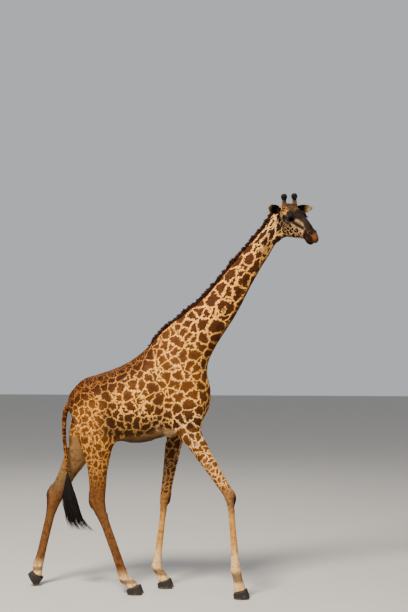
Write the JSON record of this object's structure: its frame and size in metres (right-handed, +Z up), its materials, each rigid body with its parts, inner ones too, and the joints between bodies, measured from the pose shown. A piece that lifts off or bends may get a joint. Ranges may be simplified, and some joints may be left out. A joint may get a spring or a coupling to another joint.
{
  "type": "giraffe",
  "caption": "Life-size still model of a Masai giraffe cow walking, its long neck held forward and its head turned to its right, with mane, ossicones and tufted tail.",
  "frame": {"origin": "on the ground, at the middle of the box round the whole animal", "axes": "+X to the front of the body, +Y to the animal's left, +Z up"},
  "size_m": [3.0536, 0.6566, 4.0414],
  "materials": {
    "coat": "short-haired hide, brown leaf-shaped patches on tan, pale below",
    "mane_hair": "stiff short standing hair, dark red-brown",
    "tail_hair": "long coarse hair, black",
    "horn_coat": "haired horn, brown stem with a black tip",
    "eye": "wet, very dark brown",
    "hoof": "worn dark horn"
  },
  "bodies": {
    "root": {"trunk": "coat", "neck": "coat", "head": "coat", "fore_right_upper": "coat", "fore_right_lower": "coat", "fore_left_upper": "coat", "fore_left_lower": "coat", "hind_right_upper": "coat", "hind_right_lower": "coat", "hind_left_upper": "coat", "hind_left_lower": "coat", "mane": "mane_hair", "tail": "coat", "tail_tuft": "tail_hair", "ossicone_right": "horn_coat", "ear_right": "coat", "eye_right": "eye", "ossicone_left": "horn_coat", "ear_left": "coat", "eye_left": "eye", "fore_right_hoof_outer": "hoof", "fore_right_hoof_inner": "hoof", "fore_left_hoof_outer": "hoof", "fore_left_hoof_inner": "hoof", "hind_right_hoof_outer": "hoof", "hind_right_hoof_inner": "hoof", "hind_left_hoof_outer": "hoof", "hind_left_hoof_inner": "hoof"}
  },
  "joints": []
}
